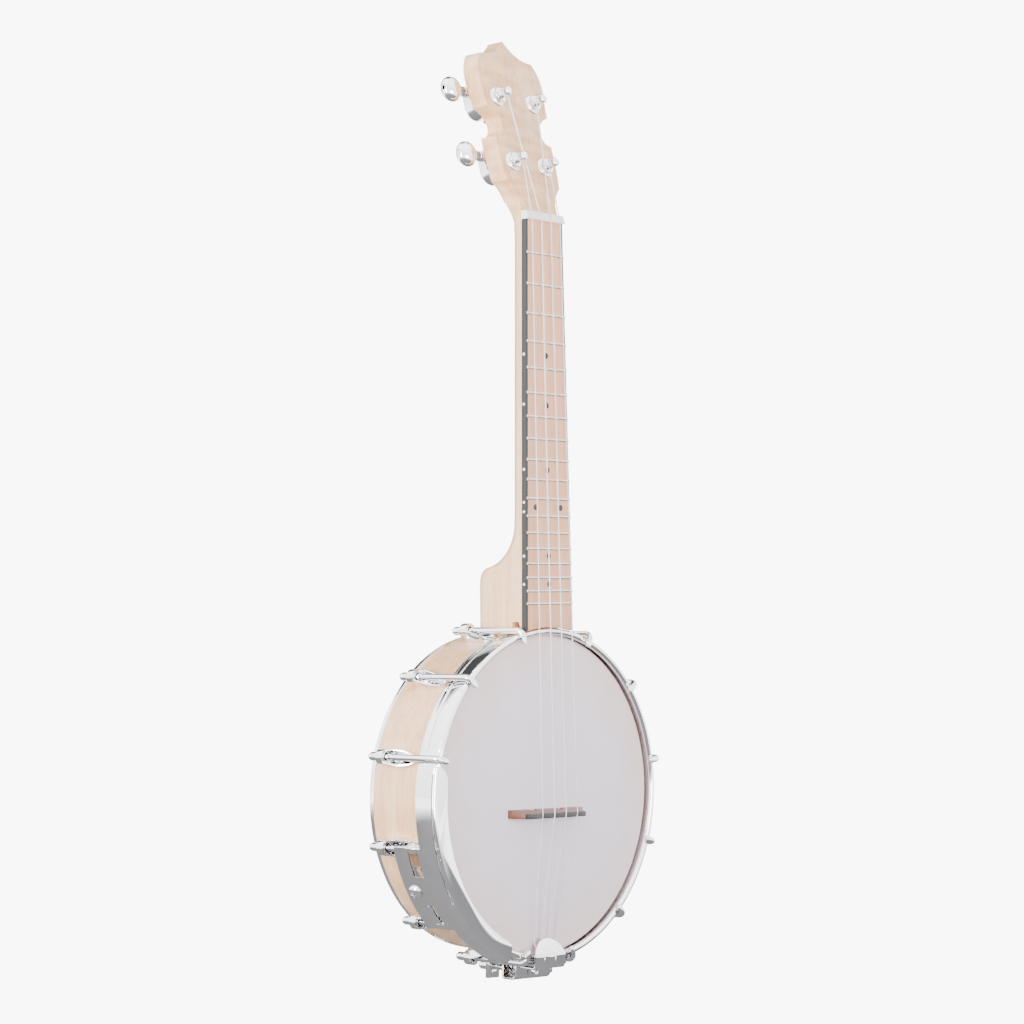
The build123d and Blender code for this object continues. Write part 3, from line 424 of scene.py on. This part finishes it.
class BANJO_OT_stage(bpy.types.Operator):
    """Pale floor, soft studio light with dark gaps for the metal to reflect, and the camera"""
    bl_idname = "banjo.stage"
    bl_label = "Stage"

    def execute(self, context):
        sizes = context.scene.banjo_sizes
        low = Vector(CAD_BOX[0]).z - sizes.floor_gap
        deselect_all()
        bpy.ops.mesh.primitive_plane_add(size=FLOOR_SIZE, location=(0, 0, low))
        floor = bpy.context.object
        floor.name = "floor"
        set_material(floor, lit_sweep())
        add_camera()
        add_lights()
        return {"FINISHED"}


def lit_sweep():
    """Translucent white sheet lit from below. What the instrument mirrors of it is a plain grey
    card under it, with the bright sheet again from two metres out."""
    sheet = new_material("white_acrylic_sweep")
    place = add_node(sheet, "ShaderNodeTexCoord")
    fibre = add_node(sheet, "ShaderNodeTexNoise", Vector=(place, "Object"), Scale=8.0)
    tone = colour_ramp(sheet, (fibre, "Fac"), [(0.0, "#8F8F90"), (1.0, "#979798")])
    card = add_node(sheet, "ShaderNodeBsdfDiffuse", Color=(tone, "Color"))
    lit = add_node(sheet, "ShaderNodeEmission", Strength=SWEEP_LEVEL)
    soft = add_node(sheet, "ShaderNodeEmission", Strength=SHINE_LEVEL)
    reach = add_node(sheet, "ShaderNodeVectorMath", {"operation": "LENGTH"}, i0=(place, "Object"))
    far = add_node(sheet, "ShaderNodeMapRange", Value=(reach, "Value"), From_Min=0.9, From_Max=2.0)
    mirrored = add_node(sheet, "ShaderNodeMixShader", Fac=(far, "Result"), i1=(card, "BSDF"),
                        i2=(soft, "Emission"))
    seen = add_node(sheet, "ShaderNodeLightPath")
    both = add_node(sheet, "ShaderNodeMixShader", Fac=(seen, "Is Camera Ray"),
                    i1=(mirrored, "Shader"), i2=(lit, "Emission"))
    return finish_material(sheet, both)


def add_camera():
    """A long lens from the front left, looking nearly level."""
    yaw, pitch, roll = math.radians(-47.63), math.radians(-2.307), math.radians(-0.752)
    aim = Vector((0, 0, -300 * MM))
    side, rise, distance = -24.67 * MM, 112.751 * MM, 1474.25 * MM
    back = Vector((math.sin(yaw) * math.cos(pitch), -math.cos(yaw) * math.cos(pitch), math.sin(pitch)))
    right = Vector((math.cos(yaw), math.sin(yaw), 0))
    up = back.cross(right)
    turned_right = right * math.cos(roll) + up * math.sin(roll)
    turned_up = up * math.cos(roll) - right * math.sin(roll)
    eye = aim + turned_right * side + turned_up * rise + back * distance
    bpy.ops.object.camera_add(location=eye)
    camera = bpy.context.object
    camera.name = "camera"
    camera.rotation_euler = Matrix((turned_right, turned_up, back)).transposed().to_euler()
    camera.data.sensor_width = 36.0
    camera.data.lens = 81.18
    camera.data.dof.use_dof = False
    camera.data.clip_end = 50.0
    bpy.context.scene.camera = camera


def softbox(name, place, target, size, power):
    bpy.ops.object.light_add(type="AREA", location=place)
    light = bpy.context.object
    light.name = name
    aim = Vector(target) - Vector(place)
    light.rotation_euler = aim.to_track_quat("-Z", "Y").to_euler()
    light.data.shape = "RECTANGLE"
    light.data.size, light.data.size_y = size
    light.data.energy = power


def light_studio_world():
    """White room with dark gaps between its softboxes for the plated pieces to reflect. The open
    view past the instrument is the brightly lit sweep."""
    world = bpy.data.worlds.new("studio_white")
    bpy.context.scene.world = world
    world.use_nodes = True
    world.node_tree.nodes.clear()
    place = add_node(world, "ShaderNodeTexCoord")
    split = add_node(world, "ShaderNodeSeparateXYZ", Vector=(place, "Generated"))
    # Bands of softbox and gap along X, seen as streaks in the metal.
    across = add_node(world, "ShaderNodeMapRange", Value=(split, "X"), From_Min=-1.0, From_Max=1.0)
    bands = add_node(world, "ShaderNodeValToRGB", Fac=(across, "Result"))
    stops = [(0.0, 1.0), (0.44, 1.0), (0.49, 0.25), (0.53, 0.02), (0.70, 0.02), (0.74, 0.30),
             (0.80, 0.30), (0.84, 0.04), (0.91, 0.04), (0.95, 0.8)]
    elements = bands.color_ramp.elements
    while len(elements) < len(stops):
        elements.new(0.5)
    for element, (position, value) in zip(elements, stops):
        element.position = position
        element.color = (value, value, value, 1.0)
    height = add_node(world, "ShaderNodeMapRange", Value=(split, "Z"), From_Min=-0.9, From_Max=0.9,
                      To_Min=0.35, To_Max=1.25)
    # The bands stand behind the instrument; the wall in front of it is plain white.
    behind = add_node(world, "ShaderNodeMapRange", Value=(split, "Y"), From_Min=-0.15, From_Max=0.1)
    walls = add_node(world, "ShaderNodeMix", {"data_type": "FLOAT"}, Factor=(behind, "Result"),
                     i2=0.9, i3=(bands, "Color"))
    room = add_node(world, "ShaderNodeMath", {"operation": "MULTIPLY"}, i0=(walls, "Result"),
                    i1=(height, "Result"))
    shine = add_node(world, "ShaderNodeMath", {"operation": "MULTIPLY"}, i0=(room, "Value"),
                     i1=SHINE_LEVEL)
    # The room is brightest on the left, where its window wall stands.
    fill = add_node(world, "ShaderNodeMapRange", Value=(split, "X"), From_Min=-1.0, From_Max=1.0,
                    To_Min=1.9 * FILL_LEVEL, To_Max=0.15 * FILL_LEVEL)
    lower = add_node(world, "ShaderNodeMapRange", Value=(split, "Z"), From_Min=0.0, From_Max=0.9,
                     To_Min=1.0, To_Max=0.3)
    soft = add_node(world, "ShaderNodeMath", {"operation": "MULTIPLY"}, i0=(fill, "Result"),
                    i1=(lower, "Result"))
    seen = add_node(world, "ShaderNodeLightPath")
    lit = add_node(world, "ShaderNodeMix", {"data_type": "FLOAT"}, Factor=(seen, "Is Glossy Ray"),
                   i2=(soft, "Value"), i3=(shine, "Value"))
    level = add_node(world, "ShaderNodeMix", {"data_type": "FLOAT"}, Factor=(seen, "Is Camera Ray"),
                     i2=(lit, "Result"), i3=SWEEP_LEVEL)
    shade = add_node(world, "ShaderNodeBackground", Color=(1, 1, 1, 1), Strength=(level, "Result"))
    output = add_node(world, "ShaderNodeOutputWorld")
    world.node_tree.links.new(shade.outputs[0], output.inputs["Surface"])


def add_lights():
    light_studio_world()
    middle = (0, 0, -0.2)
    softbox("key_softbox", (-0.6, -1.7, -0.4), middle, (1.0, 1.0), 44.0)
    softbox("side_softbox", (-1.8, 0.1, -0.1), middle, (0.5, 1.2), 55.0)


OPERATORS = (BANJO_OT_wood, BANJO_OT_fittings, BANJO_OT_finishes, BANJO_OT_stage)


class BANJO_PT_panel(bpy.types.Panel):
    bl_idname = "BANJO_PT_panel"
    bl_label = "Banjo ukulele"
    bl_space_type = "VIEW_3D"
    bl_region_type = "UI"
    bl_category = "Banjo"

    def draw(self, context):
        for group in (context.scene.banjo_sizes, context.scene.banjo_finishes):
            for name in group.__annotations__:
                self.layout.prop(group, name)
        for operator in OPERATORS:
            self.layout.operator(operator.bl_idname)


CLASSES = (BanjoFinishes, BanjoSizes, *OPERATORS, BANJO_PT_panel)
MATERIALS = {}


def register():
    for cls in CLASSES:
        bpy.utils.register_class(cls)
    bpy.types.Scene.banjo_finishes = bpy.props.PointerProperty(type=BanjoFinishes)
    bpy.types.Scene.banjo_sizes = bpy.props.PointerProperty(type=BanjoSizes)


def unregister():
    del bpy.types.Scene.banjo_sizes
    del bpy.types.Scene.banjo_finishes
    for cls in reversed(CLASSES):
        bpy.utils.unregister_class(cls)


def main():
    register()
    MATERIALS.update(make_materials())
    bpy.ops.banjo.wood()
    bpy.ops.banjo.fittings()
    bpy.ops.banjo.finishes()
    bpy.ops.banjo.stage()


if __name__ == "__main__":
    main()
